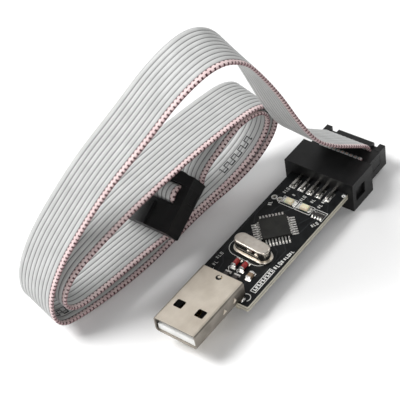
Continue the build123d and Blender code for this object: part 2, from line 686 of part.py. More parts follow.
for name, (points, corner_radii) in SPANS.items():
    with BuildLine() as centre_line:
        FilletPolyline(*points, radius=corner_radii)
    centre = centre_line.wires()[0]
    with BuildPart() as ribbon_span:
        with BuildSketch(Plane(origin=points[0], x_dir=across, z_dir=points[1] - points[0])):
            Rectangle(RIBBON_WIDTH, RIBBON_THICK)
        sweep(path=centre, binormal=centre.moved(Location(across * 2 * RIBBON_WIDTH)))
    expected_volume = RIBBON_WIDTH * RIBBON_THICK * centre.length
    share = ribbon_span.part.volume / expected_volume
    print(name, "length", round(centre.length, 1), "volume over section times length", round(share, 3))
    save(ribbon_span.part, name)
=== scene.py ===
"""Looks of the USB microcontroller programmer: materials, printed legend, solder and the ribbed ribbon."""

import math

import bpy
import numpy as np
from mathutils import Matrix, Vector


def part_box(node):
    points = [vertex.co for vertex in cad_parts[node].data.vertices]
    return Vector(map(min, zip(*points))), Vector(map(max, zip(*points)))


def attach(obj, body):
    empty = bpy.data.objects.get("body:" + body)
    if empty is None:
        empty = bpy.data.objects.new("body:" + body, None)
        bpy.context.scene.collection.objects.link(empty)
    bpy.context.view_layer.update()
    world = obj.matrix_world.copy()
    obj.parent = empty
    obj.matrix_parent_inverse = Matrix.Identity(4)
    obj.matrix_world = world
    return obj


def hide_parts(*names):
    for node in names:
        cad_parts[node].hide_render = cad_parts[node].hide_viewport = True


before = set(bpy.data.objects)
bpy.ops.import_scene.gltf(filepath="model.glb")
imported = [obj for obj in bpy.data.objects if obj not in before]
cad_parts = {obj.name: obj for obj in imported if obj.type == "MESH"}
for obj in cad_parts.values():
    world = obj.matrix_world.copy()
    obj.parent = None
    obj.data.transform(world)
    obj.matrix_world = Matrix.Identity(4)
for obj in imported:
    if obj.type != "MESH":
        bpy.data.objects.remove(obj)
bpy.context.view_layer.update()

MM = 0.001
BOARD_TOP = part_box("pcb")[1].z
BOARD_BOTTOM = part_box("pcb")[0].z

# ---------------------------------------------------------------- camera
CAMERA_AT = (-167.65, -146.58, 234.16)
CAMERA_RIGHT = (0.59670, -0.79109, -0.13465)
CAMERA_UP = (0.61189, 0.33998, 0.71415)
CAMERA_LENS = 118.8


def add_camera():
    """The photograph's view: from above the plug's end, a little rolled."""
    data = bpy.data.cameras.new("camera")
    data.lens = CAMERA_LENS
    data.sensor_width = 36
    data.clip_start = 0.01
    camera = bpy.data.objects.new("camera", data)
    bpy.context.scene.collection.objects.link(camera)
    right = Vector(CAMERA_RIGHT).normalized()
    up = Vector(CAMERA_UP)
    up = (up - up.dot(right) * right).normalized()
    turn = Matrix((right, up, right.cross(up))).transposed()
    camera.matrix_world = Matrix.Translation(Vector(CAMERA_AT) * MM) @ turn.to_4x4()
    bpy.context.scene.camera = camera


add_camera()


# ---------------------------------------------------------------- material helpers
class Shader:
    """A node material with short ways to add texture, maths and mixing nodes."""

    def __init__(self, name, **constants):
        self.material = bpy.data.materials.new(name)
        self.material.use_nodes = True
        self.tree = self.material.node_tree
        self.principled = self.tree.nodes["Principled BSDF"]
        for socket, value in constants.items():
            self.principled.inputs[socket.replace("_", " ")].default_value = value
        self.coordinates = self.tree.nodes.new("ShaderNodeTexCoord")
        self.place = self.coordinates.outputs["Object"]

    def node(self, kind, inputs=(), **settings):
        """A node with settings as attributes and inputs as values or links, by name or number."""
        made = self.tree.nodes.new("ShaderNode" + kind)
        for key, value in settings.items():
            setattr(made, key, value)
        for key, value in dict(inputs).items():
            if isinstance(value, bpy.types.NodeSocket):
                self.tree.links.new(value, made.inputs[key])
            else:
                made.inputs[key].default_value = value
        return made

    def math(self, operation, *values):
        return self.node("Math", dict(enumerate(values)), operation=operation).outputs[0]

    def stretched(self, scale):
        """Object coordinates, scaled along each axis."""
        return self.node("Mapping", {"Vector": self.place, "Scale": scale}).outputs[0]

    def noise(self, scale, detail=3.0, vector=None):
        inputs = {"Vector": vector or self.place, "Scale": scale, "Detail": detail}
        return self.node("TexNoise", inputs).outputs["Fac"]

    def cells(self, scale, vector=None):
        return self.node("TexVoronoi", {"Vector": vector or self.place, "Scale": scale}).outputs["Distance"]

    def spread(self, value, low, high, start=0.3, end=0.7):
        """Value from start to end, spread over low to high."""
        inputs = {0: value, 1: start, 2: end, 3: low, 4: high}
        return self.node("MapRange", inputs).outputs[0]

    def mix(self, share, first, second):
        """Colour from first to second."""
        made = self.node("Mix", {0: share}, data_type="RGBA")
        for socket, value in ((made.inputs[6], first), (made.inputs[7], second)):
            if isinstance(value, bpy.types.NodeSocket):
                self.tree.links.new(value, socket)
            else:
                socket.default_value = (*value, 1.0)
        return made.outputs[2]

    def paint(self, **sockets):
        """Link values to the shader's own sockets."""
        for socket, value in sockets.items():
            self.tree.links.new(value, self.principled.inputs[socket.replace("_", " ")])

    def bump(self, height, depth, strength=1.0, edge=0.0):
        """Relief of the given depth in metres, over an edge softened by a small radius."""
        inputs = {"Height": height, "Distance": depth, "Strength": strength}
        if edge:
            inputs["Normal"] = self.node("Bevel", {"Radius": edge}, samples=4).outputs[0]
        self.paint(Normal=self.node("Bump", inputs).outputs[0])
        return self.material


def moulded(name, dark, light, roughness=(0.38, 0.55), grain=9000.0, edge=0.00012, sheen=0.5):
    """Moulded plastic with fine spark-eroded grain and faint cloudiness."""
    shader = Shader(name, Specular_IOR_Level=sheen)
    cloud = shader.noise(350.0, 4.0)
    grit = shader.noise(grain, 2.0)
    shader.paint(
        Base_Color=shader.mix(shader.spread(cloud, 0.0, 1.0), dark, light),
        Roughness=shader.spread(grit, *roughness),
    )
    return shader.bump(grit, 0.000012, 0.6, edge)


def plated(name, dark, light, roughness, direction=(1.0, 1.0, 1.0), grain=2500.0, depth=0.000004, edge=0.0):
    """Plated or drawn metal, brushed along the axis with the smallest scale."""
    shader = Shader(name, Metallic=1.0)
    brushed = shader.noise(grain, 5.0, shader.stretched(direction))
    tarnish = shader.noise(220.0, 4.0)
    shader.paint(
        Base_Color=shader.mix(shader.spread(tarnish, 0.0, 1.0), dark, light),
        Roughness=shader.spread(brushed, *roughness),
    )
    return shader.bump(brushed, depth, 0.5, edge)


def level_share(shader):
    """1 on faces that look up or down and 0 on the sides."""
    facing = shader.node("SeparateXYZ", {0: shader.coordinates.outputs["Normal"]}).outputs["Z"]
    return shader.spread(shader.math("ABSOLUTE", facing), 0.0, 1.0, 0.6, 0.8)


SHELL_HALF_HEIGHT = 0.00225
SHELL_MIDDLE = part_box("usb_shell")[1].z - SHELL_HALF_HEIGHT
SHELL_INSIDE = 0.0021
INSULATOR_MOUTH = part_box("usb_insulator")[0].x


def shell_nickel():
    """Drawn nickel shell: satin on its broad faces, with painted shade on its narrow sides and inside."""
    shader = Shader("shell_nickel", Metallic=1.0)
    brushed = shader.noise(2500.0, 5.0, shader.stretched((0.15, 1.0, 1.0)))
    tarnish = shader.spread(shader.noise(220.0, 4.0), 0.0, 1.0)
    height = shader.node("SeparateXYZ", {0: shader.place}).outputs["Z"]
    from_level = shader.math("ABSOLUTE", shader.math("SUBTRACT", height, SHELL_MIDDLE))
    outside = shader.spread(from_level, 0.0, 1.0, SHELL_INSIDE, 1.02 * SHELL_INSIDE)
    broad = shader.math("MULTIPLY", level_share(shader), outside)
    satin = shader.mix(tarnish, (0.62, 0.55, 0.46), (0.78, 0.71, 0.61))
    # Darker colour for the narrow sides and the inside of the shell: painted shade.
    painted_shade_tone = shader.mix(tarnish, (0.20, 0.18, 0.155), (0.34, 0.31, 0.27))
    shader.paint(Base_Color=shader.mix(broad, painted_shade_tone, satin), Roughness=shader.spread(brushed, 0.30, 0.44))
    return shader.bump(brushed, 0.000004, 0.5)


def white_insulator():
    """White moulding at the plug's mouth, coloured dark deeper inside to stand for the shade there."""
    shader = Shader("white_insulator", Specular_IOR_Level=0.5)
    cloud = shader.spread(shader.noise(350.0, 4.0), 0.0, 1.0)
    grit = shader.noise(9000.0, 2.0)
    along = shader.node("SeparateXYZ", {0: shader.place}).outputs["X"]
    deep = shader.spread(along, 0.0, 1.0, INSULATOR_MOUTH + 0.0008, INSULATOR_MOUTH + 0.0025)
    skin = shader.mix(cloud, (0.74, 0.74, 0.72), (0.88, 0.88, 0.86))
    shader.paint(
        Base_Color=shader.mix(deep, skin, (0.05, 0.05, 0.05)),
        Roughness=shader.spread(grit, 0.38, 0.55),
    )
    return shader.bump(grit, 0.000012, 0.6, 0.00012)


def crystal_metal():
    """Drawn can: satin on top, bright on its sides, which get a darker colour as painted shade."""
    shader = Shader("crystal_metal", Metallic=1.0)
    level = level_share(shader)
    brushed = shader.noise(2600.0, 4.0, shader.stretched((1.0, 0.15, 1.0)))
    stain = shader.noise(700.0, 4.0)
    top = shader.mix(shader.spread(stain, 0.0, 1.0), (0.66, 0.60, 0.53), (0.80, 0.75, 0.68))
    # The sides' darker colour is painted shade.
    side = shader.mix(shader.spread(stain, 0.0, 1.0), (0.50, 0.45, 0.38), (0.72, 0.67, 0.60))
    satin = shader.math("MULTIPLY", level, shader.spread(brushed, 0.22, 0.34))
    shader.paint(
        Base_Color=shader.mix(level, side, top),
        Roughness=shader.math("ADD", satin, shader.spread(stain, 0.08, 0.14)),
    )
    return shader.bump(brushed, 0.000002, 0.3)


def solder_mask():
    """Black mask over copper and laminate on both faces, and cut glass-fibre edges."""
    shader = Shader("solder_mask", Specular_IOR_Level=0.18)
    on_face = level_share(shader)
    weave = shader.cells(1600.0, shader.stretched((1.0, 1.0, 0.1)))
    cloud = shader.noise(500.0, 5.0)
    mask = shader.mix(shader.spread(cloud, 0.0, 1.0), (0.005, 0.0055, 0.006), (0.012, 0.013, 0.014))
    layers = shader.noise(2600.0, 3.0, shader.stretched((0.25, 0.25, 3.0)))
    cut = shader.mix(shader.spread(layers, 0.0, 1.0), (0.62, 0.59, 0.50), (0.42, 0.39, 0.31))
    height = shader.node("SeparateXYZ", {0: shader.place}).outputs["Z"]
    from_core = shader.math("ABSOLUTE", shader.math("SUBTRACT", height, (BOARD_TOP + BOARD_BOTTOM) / 2))
    cut = shader.mix(shader.spread(from_core, 0.75, 0.0, 0.00005, 0.00022), cut, (0.10, 0.095, 0.08))
    shader.paint(
        Base_Color=shader.mix(on_face, cut, mask),
        Roughness=shader.spread(cloud, 0.38, 0.52),
    )
    return shader.bump(weave, 0.000006, 0.3)


def masked_copper():
    """Traces under the mask: a shade lighter than the bare board, with the same sheen."""
    shader = Shader("masked_copper", Specular_IOR_Level=0.22)
    cloud = shader.noise(700.0, 4.0)
    shader.paint(
        Base_Color=shader.mix(shader.spread(cloud, 0.0, 1.0), (0.013, 0.015, 0.016), (0.024, 0.026, 0.028)),
        Roughness=shader.spread(cloud, 0.34, 0.48),
    )
    return shader.bump(cloud, 0.000004, 0.4)


def legend_ink():
    """White printed ink, a little uneven."""
    shader = Shader("legend_ink")
    wear = shader.noise(4500.0, 4.0)
    shader.paint(
        Base_Color=shader.mix(shader.spread(wear, 0.0, 1.0, 0.2, 0.5), (0.45, 0.46, 0.45), (0.86, 0.86, 0.83)),
        Roughness=shader.spread(wear, 0.75, 0.5),
    )
    return shader.bump(wear, 0.000006)


def red_glass():
    """Small red glass tube with its dark chip showing through."""
    shader = Shader("red_glass", Transmission_Weight=0.35, IOR=1.5, Coat_Weight=0.6)
    inside = shader.noise(900.0, 3.0)
    shader.paint(
        Base_Color=shader.mix(shader.spread(inside, 0.0, 1.0), (0.30, 0.012, 0.010), (0.75, 0.06, 0.05)),
        Roughness=shader.spread(inside, 0.08, 0.22),
    )
    return shader.bump(inside, 0.00001, 0.3)


def led_resin():
    """Cream phosphor resin, slightly translucent."""
    shader = Shader("led_resin", Subsurface_Weight=0.25, Subsurface_Scale=0.0006)
    grain = shader.noise(3800.0, 4.0)
    shader.paint(
        Base_Color=shader.mix(shader.spread(grain, 0.0, 1.0), (0.78, 0.66, 0.42), (0.95, 0.90, 0.72)),
        Roughness=shader.spread(grain, 0.25, 0.45),
    )
    return shader.bump(grain, 0.00001)


# ---------------------------------------------------------------- ribbon materials
CONDUCTORS = 10
CONDUCTOR_PITCH = 1.27 * MM
MARK_PITCH = 1.1 * MM
PRINT_PITCH = 0.075          # metres between rows of print on the ribbon
PRINT_STEP = 0.0014
OTHER_FACE = 2.0             # added to the map's second coordinate on the ribbon's other face


def across_and_along(shader):
    """Place across the ribbon in conductors, and along it in metres, from the ribbon's own map."""
    place = shader.node("UVMap", uv_map="ribbon").outputs[0]
    parts = shader.node("SeparateXYZ", {0: place}).outputs
    return shader.math("MULTIPLY", parts["Y"], float(CONDUCTORS)), parts["X"]


def from_middle(shader, value):
    """Distance from the middle of each whole step of value: 0 there and 0.5 at its ends."""
    whole = shader.math("FRACT", value)
    return shader.math("ABSOLUTE", shader.math("SUBTRACT", whole, 0.5))


def print_share(shader, across, along):
    """1 in short rows of generic strokes, upright and level by turns, none of them a letter."""
    place = shader.math("SUBTRACT", across, OTHER_FACE * CONDUCTORS)
    steps = shader.math("DIVIDE", along, PRINT_STEP)
    upright = shader.math("LESS_THAN", shader.math("FRACT", steps), 0.2)
    from_row = shader.math("ABSOLUTE", shader.math("SUBTRACT", place, 3.0))
    in_row = shader.math("LESS_THAN", from_row, 0.75)
    turn = shader.math("SUBTRACT", shader.math("FRACT", shader.math("MULTIPLY", steps, 0.5)), 0.5)
    target = shader.math("SIGN", turn)
    from_middle_row = shader.math("SUBTRACT", place, 3.0)
    from_bar = shader.math("SUBTRACT", from_middle_row, shader.math("MULTIPLY", target, 0.6))
    level = shader.math("LESS_THAN", shader.math("ABSOLUTE", from_bar), 0.14)
    stroke = shader.math("MULTIPLY", shader.math("MAXIMUM", upright, level), in_row)
    repeat = shader.math("FRACT", shader.math("DIVIDE", along, PRINT_PITCH))
    clear_of_end = shader.math("GREATER_THAN", along, 0.03)
    printed = shader.math("MULTIPLY", shader.math("LESS_THAN", repeat, 0.16), clear_of_end)
    return shader.math("MULTIPLY", stroke, printed)


def ribbon_grey():
    """Light grey PVC with painted shade in the grooves between its conductors, and generic print on one face.
    """
    shader = Shader("ribbon_grey", Specular_IOR_Level=0.35)
    across, along = across_and_along(shader)
    # Darker grooves between the ribs: painted shade.
    groove_painted_shade = shader.spread(from_middle(shader, across), 0.0, 1.0, 0.34, 0.48)
    cloud = shader.noise(260.0, 4.0)
    skin = shader.mix(shader.spread(cloud, 0.0, 1.0), (0.47, 0.475, 0.47), (0.55, 0.555, 0.55))
    grain = shader.noise(5200.0, 2.0)
    skin = shader.mix(print_share(shader, across, along), skin, (0.03, 0.03, 0.032))
    shader.paint(
        Base_Color=shader.mix(groove_painted_shade, skin, (0.11, 0.11, 0.11)),
        Roughness=shader.spread(grain, 0.38, 0.52),
    )
    return shader.bump(grain, 0.000008, 0.4)


def ribbon_marked():
    """First conductor: pale pink with two staggered rows of dark marks at its borders."""
    shader = Shader("ribbon_marked", Specular_IOR_Level=0.4)
    across, along = across_and_along(shader)
    row = shader.math("GREATER_THAN", shader.math("FRACT", across), 0.5)
    steps = shader.math("DIVIDE", along, MARK_PITCH)
    steps = shader.math("ADD", steps, shader.math("MULTIPLY", row, 0.5))
    wander = shader.spread(shader.noise(1500.0), -0.08, 0.08)
    lengthwise = from_middle(shader, shader.math("ADD", steps, wander))
    from_border = shader.math("ABSOLUTE", shader.math("SUBTRACT", from_middle(shader, across), 0.36))
    in_mark = shader.math(
        "MULTIPLY",
        shader.spread(lengthwise, 1.0, 0.0, 0.16, 0.22),
        shader.spread(from_border, 1.0, 0.0, 0.14, 0.19),
    )
    # Darker groove at the marked conductor's borders: painted shade.
    seam_painted_shade = shader.spread(from_middle(shader, across), 0.0, 0.6, 0.45, 0.5)
    cloud = shader.noise(420.0, 4.0)
    skin = shader.mix(shader.spread(cloud, 0.0, 1.0), (0.66, 0.50, 0.50), (0.76, 0.62, 0.61))
    skin = shader.mix(seam_painted_shade, skin, (0.20, 0.08, 0.09))
    shader.paint(
        Base_Color=shader.mix(in_mark, skin, (0.050, 0.006, 0.012)),
        Roughness=shader.spread(cloud, 0.4, 0.55),
    )
    return shader.bump(shader.noise(5200.0, 2.0), 0.000008, 0.4)


BLACK = ((0.004, 0.004, 0.0042), (0.009, 0.009, 0.0095))
CHIP_GREY = ((0.013, 0.013, 0.012), (0.026, 0.026, 0.023))
SILVER = ((0.66, 0.65, 0.62), (0.90, 0.89, 0.86))
materials = {
    "board": solder_mask(),
    "trace": masked_copper(),
    "ink": legend_ink(),
    "shell": shell_nickel(),
    "tab": plated("pressed_tab", (0.62, 0.55, 0.46), (0.78, 0.71, 0.61), (0.30, 0.44)),
    "white": white_insulator(),
    "gold": plated("gold_plate", (0.72, 0.50, 0.20), (0.92, 0.72, 0.36), (0.18, 0.34)),
    "crystal": crystal_metal(),
    "tin": plated("tin_plate", *SILVER, (0.22, 0.34), depth=0.000001, edge=0.00004),
    # The header's pins get a darker copy of the tin colour: painted reflection of the black header and board
    # around them.
    "pin": plated("pin_plate_painted_reflection", (0.24, 0.23, 0.21), (0.36, 0.35, 0.33), (0.22, 0.34), depth=0.000001),
    "solder": plated("solder_metal", *SILVER, (0.12, 0.24), grain=1200.0, depth=0.000005),
    "copper": plated("cut_copper", (0.60, 0.30, 0.18), (0.85, 0.52, 0.36), (0.3, 0.5)),
    "black": moulded("black_moulding", *BLACK, (0.34, 0.48), sheen=0.28),
    "chip": moulded("chip_compound", *CHIP_GREY, (0.5, 0.7), 7000.0, 0.00008, 0.3),
    "ceramic": moulded("fired_ceramic", (0.02, 0.018, 0.018), (0.06, 0.05, 0.045), (0.35, 0.6)),
    "tan": moulded("tan_ceramic", (0.20, 0.13, 0.08), (0.34, 0.24, 0.16), (0.35, 0.6)),
    "glass": red_glass(),
    "led": led_resin(),
    "ribbon": ribbon_grey(),
    "marked": ribbon_marked(),
}

NODE_MATERIALS = {
    "pcb": "board",
    "usb_shell": "shell",
    "usb_insulator": "white",
    "usb_contacts": "gold",
    "crystal_can": "crystal",
    "crystal_base": "crystal",
    "mcu_body": "chip",
    "mcu_leads": "tin",
    "power_led": "led",
    "status_led": "led",
    "led_terminals": "tin",
    "diode_glass": "glass",
    "diode_caps": "tin",
    "resistor_bodies": "ceramic",
    "resistor_terminals": "tin",
    "capacitor_body": "tan",
    "capacitor_terminals": "tin",
    "header_shroud": "black",
    "header_pins": "pin",
}
for end in ("near", "far"):
    NODE_MATERIALS[f"{end}_socket_body"] = "black"
    NODE_MATERIALS[f"{end}_socket_cover"] = "black"
    NODE_MATERIALS[f"{end}_strain_relief"] = "black"
    NODE_MATERIALS[f"{end}_socket_contacts"] = "gold"

for node, key in NODE_MATERIALS.items():
    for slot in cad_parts[node].material_slots:
        slot.material = materials[key]


# ---------------------------------------------------------------- mesh helpers
def add_mesh(name, vertices, faces, body, finishes, smooth=False):
    """A mesh piece that rides on a body, with one or more materials."""
    mesh = bpy.data.meshes.new(name)
    mesh.from_pydata([tuple(v) for v in vertices], [], faces)
    mesh.validate()
    for finish in finishes:
        mesh.materials.append(materials[finish])
    if smooth:
        mesh.shade_smooth()
    piece = bpy.data.objects.new(name, mesh)
    bpy.context.scene.collection.objects.link(piece)
    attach(piece, body)
    return piece


# ---------------------------------------------------------------- printed and soldered detail of the board
INK_THICK = 0.02
PAD_THICK = 0.03
HEADER_ROWS = (-5.08, -2.54, 0.0, 2.54, 5.08)
VIAS = ((15.5, 7.0), (15.5, 5.3))


def band_outlines(points, width, closed):
    """Left and right borders of a line of the given width, with mitred corners."""
    count = len(points)
    left, right = [], []
    for index, (x, y) in enumerate(points):
        before = points[index - 1] if closed or index else None
        after = points[(index + 1) % count] if closed or index < count - 1 else None
        sides = []
        for start, end in ((before, (x, y)), ((x, y), after)):
            if start and end:
                run = Vector((end[0] - start[0], end[1] - start[1])).normalized()
                sides.append(Vector((-run.y, run.x)))
        side = sum(sides, Vector((0, 0))).normalized()
        reach = width / 2 / max(side.dot(sides[0]), 0.4)
        left.append((x + side.x * reach, y + side.y * reach))
        right.append((x - side.x * reach, y - side.y * reach))
    return left, right


class FlatShapes:
    """Thin printed or plated shapes on one face of the board, gathered in one mesh."""

    def __init__(self, thick, under=False):
        face = BOARD_BOTTOM if under else BOARD_TOP
        outward = -1 if under else 1
        self.levels = (face - outward * 0.01 * MM, face + outward * thick * MM)
        self.vertices = []
        self.faces = []

    def prism(self, outline):
        """A filled shape from its outline in millimetres."""
        start, count = len(self.vertices), len(outline)
        for level in self.levels:
            self.vertices += [(x * MM, y * MM, level) for x, y in outline]
        self.faces.append(tuple(start + corner for corner in reversed(range(count))))
        self.faces.append(tuple(start + count + corner for corner in range(count)))
        for corner in range(count):
            following = (corner + 1) % count
            above, following_above = start + count + corner, start + count + following
            self.faces.append((start + corner, start + following, following_above, above))

    def box(self, x, y, length, width, turn=0.0):
        cosine, sine = math.cos(math.radians(turn)), math.sin(math.radians(turn))
        outline = []
        for along, across in ((-1, -1), (1, -1), (1, 1), (-1, 1)):
            reach, side = along * length / 2, across * width / 2
            outline.append((x + reach * cosine - side * sine, y + reach * sine + side * cosine))
        self.prism(outline)

    def line(self, points, width, closed=False):
        """A drawn line, one prism for each of its runs."""
        left, right = band_outlines(points, width, closed)
        for index in range(len(points) if closed else len(points) - 1):
            following = (index + 1) % len(points)
            self.prism([right[index], right[following], left[following], left[index]])

    def arc(self, x, y, radius, start, end, width, stretch=0.0, turn=0.0):
        """An arc about a point. A stretch pulls its halves apart along the turned axis."""
        steps = max(6, int(abs(end - start) / 12))
        points = []
        for step in range(steps + 1):
            angle = math.radians(start + (end - start) * step / steps)
            along, across = radius * math.cos(angle), radius * math.sin(angle)
            along += math.copysign(stretch / 2, along)
            cosine, sine = math.cos(math.radians(turn)), math.sin(math.radians(turn))
            points.append((x + along * cosine - across * sine, y + along * sine + across * cosine))
        self.line(points, width)

    def marks(self, x, y, count, turn=0.0, height=1.1, step=0.75, width=0.16):
        """A row of generic strokes: alternating bars, corners and rings, none of them a letter."""
        cosine, sine = math.cos(math.radians(turn)), math.sin(math.radians(turn))

        def placed(points):
            return [(x + a * cosine - b * sine, y + a * sine + b * cosine) for a, b in points]

        half = height / 2
        for index in range(count):
            here = index * step
            kind = index % 3
            if kind == 0:
                self.line(placed([(here, -half), (here, half)]), width)
                self.line(placed([(here + 0.3 * step, -half), (here + 0.3 * step, half)]), width)
            elif kind == 1:
                self.line(placed([(here, half), (here, -half), (here + 0.55 * step, -half)]), width)
            else:
                inset = 0.5 * step
                corners = [(here, -half), (here + inset, -half), (here + inset, half), (here, half)]
                self.line(placed(corners), width, closed=True)

    def made(self, name, slot, finish):
        return add_mesh(name, self.vertices, self.faces, "stick", [finish])


def add_legend():
    """White print on the board: outlines round parts and rows of generic marks."""
    ink = FlatShapes(INK_THICK)
    # label plate beside the diodes: a filled box with gaps in it
    ink.line([(-13.2, -7.45), (-5.2, -7.45), (-5.2, -6.05), (-13.2, -6.05)], 0.2, closed=True)
    for index in range(9):
        ink.box(-12.55 + index * 0.86, -6.75, 0.34, 0.95)
        ink.box(-12.15 + index * 0.86, -6.98 + 0.45 * (index % 2), 0.3, 0.3)
    ink.marks(-4.5, -6.95, 4, turn=-7, height=0.95, step=0.85, width=0.22)
    ink.marks(-1.0, -7.35, 5, turn=-5, height=0.75, step=0.72, width=0.2)
    # crystal outline
    ink.arc(-2.95, 1.2, 3.0, -100, 100, 0.14, stretch=5.8, turn=-94)
    ink.arc(-2.95, 1.2, 3.0, 100, 262, 0.14, stretch=5.8, turn=-94)
    # light-emitting diode boxes
    for y in (2.75, -2.0):
        ink.line([(14.35, y - 2.15), (17.1, y - 2.15), (17.1, y + 2.15), (14.35, y + 2.15)], 0.12, closed=True)
    # names of the header's lines
    for x, y, count in ((18.0, 5.75, 3), (18.3, 3.1, 1), (17.6, 0.5, 3), (18.4, -2.2, 2), (17.7, -4.75, 2)):
        ink.marks(x, y, count, turn=-4, height=0.85, step=0.72, width=0.13)
    ink.marks(19.6, -4.7, 2, turn=-4, height=0.8, step=0.6, width=0.13)
    ink.marks(12.6, 6.5, 2, turn=20, height=0.9, step=0.7, width=0.16)
    # resistor array bracket and its name
    ink.line([(16.2, -4.35), (16.9, -4.5), (16.9, -8.0), (13.9, -8.0), (13.9, -7.6)], 0.13)
    ink.marks(11.5, -6.8, 3, turn=-25, height=0.85, step=0.7, width=0.14)
    # marks by the chip passives
    for x, y in ((-9.55, 2.6), (-9.4, 0.2), (-8.3, -2.9)):
        ink.arc(x, y, 0.42, -60, 130, 0.15)
        ink.line([(x - 0.1, y + 0.35), (x - 0.75, y - 0.2)], 0.15)
    ink.arc(-15.5, -6.35, 1.15, -135, 50, 0.22)
    ink.arc(24.1, -8.0, 0.35, 0, 360, 0.3)
    faint = [(-12.9, 6.4, 2), (-10.8, 6.6, 2), (-8.6, 7.2, 3)]
    for x, y, count in faint:
        ink.marks(x, y, count, turn=-4, height=0.8, step=0.8, width=0.09)
    for x, y in VIAS:
        ink.arc(x, y, 0.72, 0, 360, 0.16)
    return ink.made("board_legend", "board", "ink")


def add_pads():
    """Tinned pads under the parts, round the header's pins and at the vias, on both faces."""
    pads = FlatShapes(PAD_THICK)
    for quarter in range(4):
        turn = 45 + 90 * quarter
        outward = Vector((math.cos(math.radians(turn)), math.sin(math.radians(turn))))
        sideways = Vector((-outward.y, outward.x))
        for lead in range(8):
            place = outward * 4.6 + sideways * (lead - 3.5) * 0.8
            pads.box(6.2 + place.x, 0.4 + place.y, 1.7, 0.46, turn)
    for x, y in ((15.8, 2.6), (15.8, -2.0)):
        for side in (-1, 1):
            pads.box(x, y + side * 1.7, 1.7, 0.9)
    for x, y in ((-8.0, 1.8), (-8.0, -0.6)):
        for side in (-1, 1):
            pads.box(x + side * 1.35, y, 0.8, 1.5)
    for x, y in ((-11.9, 2.0), (-11.8, -0.5)):
        for side in (-1, 1):
            pads.box(x + side * 1.0, y, 0.8, 1.55)
    for side in (-1, 1):
        pads.box(-9.6 + side * 1.0, -3.5, 0.85, 1.5)
        for column in range(4):
            pads.box(15.2 + side * 0.9, -6.3 + (column - 1.5) * 0.8, 0.8, 0.5)
    for y in HEADER_ROWS:
        pads.box(22.0, y, 3.4, 1.75)
    for y in (3.5, 1.0, -1.0, -3.5):
        pads.box(-14.1, y, 1.8, 1.3)
    for x, y in VIAS:
        pads.arc(x, y, 0.5, 0, 360, 0.2)
    pads.made("upper_pads", "tin", "tin")

    under = FlatShapes(PAD_THICK, under=True)
    for y in HEADER_ROWS:
        under.box(22.0, y, 3.4, 1.75)
    for x, y in ((-16.4, 5.7), (-16.4, -5.7)):
        under.arc(x, y, 0.85, 0, 360, 0.7, stretch=1.2)
    for x, y in VIAS:
        under.arc(x, y, 0.5, 0, 360, 0.2)
    under.made("lower_pads", "tin", "tin")


TRACES = [
    [(21.0, 5.08), (18.6, 5.08), (17.6, 6.1), (13.5, 7.6), (8.0, 7.6), (5.4, 6.2)],
    [(21.0, 2.54), (19.2, 2.54), (18.2, 1.2), (13.2, 1.2), (11.8, 2.4)],
    [(21.0, 0.0), (19.5, -0.2), (18.2, -1.4), (18.2, -4.2), (17.2, -5.2)],
    [(21.0, -2.54), (19.8, -3.4), (19.8, -6.2), (17.0, -7.7), (13.2, -7.7), (11.5, -5.6)],
    [(14.2, -5.1), (12.6, -4.4), (10.6, -3.6)],
    [(14.2, -6.7), (12.2, -5.9), (8.5, -5.6), (7.2, -4.6)],
    [(14.4, 3.8), (12.4, 4.4), (10.2, 4.4)],
    [(2.8, 4.9), (0.6, 7.0), (-6.5, 7.0), (-9.0, 5.0), (-12.5, 4.4), (-14.1, 3.5)],
    [(1.2, 3.6), (0.0, 4.6), (-0.6, 6.0)],
    [(1.3, -2.6), (0.4, -4.4), (-2.0, -5.4), (-7.4, -5.4), (-9.0, -4.6)],
    [(3.2, -4.4), (1.6, -6.0), (-6.0, -6.0)],
    [(-6.6, 1.8), (-5.6, 3.2), (-5.2, 5.6)],
    [(-12.8, 2.6), (-13.6, 2.0), (-14.1, 1.0)],
    [(-12.8, 0.1), (-13.6, -0.4), (-14.1, -1.0)],
    [(-10.9, -3.5), (-12.6, -3.5), (-14.1, -3.5)],
    [(-14.6, 6.9), (6.0, 8.05), (20.0, 8.05)],
]


def add_traces():
    """Copper runs that show as low ridges under the mask."""
    copper = FlatShapes(0.018)
    for trace in TRACES:
        copper.line(trace, 0.3)
    copper.made("upper_traces", "board", "trace")
    below = FlatShapes(0.018, under=True)
    for index, y in enumerate((5.08, 2.54, 0.0, -2.54, -5.08)):
        turn_x = 14.0 - 3.5 * index
        below.line([(20.5, y), (turn_x, y), (turn_x - 2.0, y * 0.55), (-8.0, y * 0.55), (-14.0, y * 0.9)], 0.4)
    below.box(-2.0, 7.4, 30.0, 1.3)
    below.box(-2.0, -7.4, 30.0, 1.3)
    below.made("lower_traces", "board", "trace")


def lofted(outlines):
    """Vertices and faces of a closed solid through outlines of equal count."""
    count = len(outlines[0])
    vertices = [point for outline in outlines for point in outline]
    faces = [tuple(reversed(range(count)))]
    for ring in range(len(outlines) - 1):
        for corner in range(count):
            following = (corner + 1) % count
            first, second = ring * count, (ring + 1) * count
            faces.append((first + corner, first + following, second + following, second + corner))
    last = (len(outlines) - 1) * count
    faces.append(tuple(last + corner for corner in range(count)))
    return vertices, faces


def fillet_of_solder(x, y, half_length, half_width, height, under, top_share=0.28):
    """A concave mound of solder on a pad, in metres."""
    outward = -1 if under else 1
    face = BOARD_BOTTOM if under else BOARD_TOP
    outlines = []
    for share in (0.0, 0.12, 0.3, 0.5, 0.72, 0.9, 1.0):
        shrink = 1 - (1 - top_share) * share**0.55
        level = face + outward * (0.02 + height * share) * MM
        outline = []
        for step in range(28):
            angle = 2 * math.pi * step / 28 * outward
            waist = 1 + 0.05 * math.cos(3 * angle + x + y)
            rim_x = x + half_length * shrink * waist * math.cos(angle)
            rim_y = y + half_width * shrink * math.sin(angle)
            outline.append((rim_x * MM, rim_y * MM, level))
        outlines.append(outline)
    return lofted(outlines)


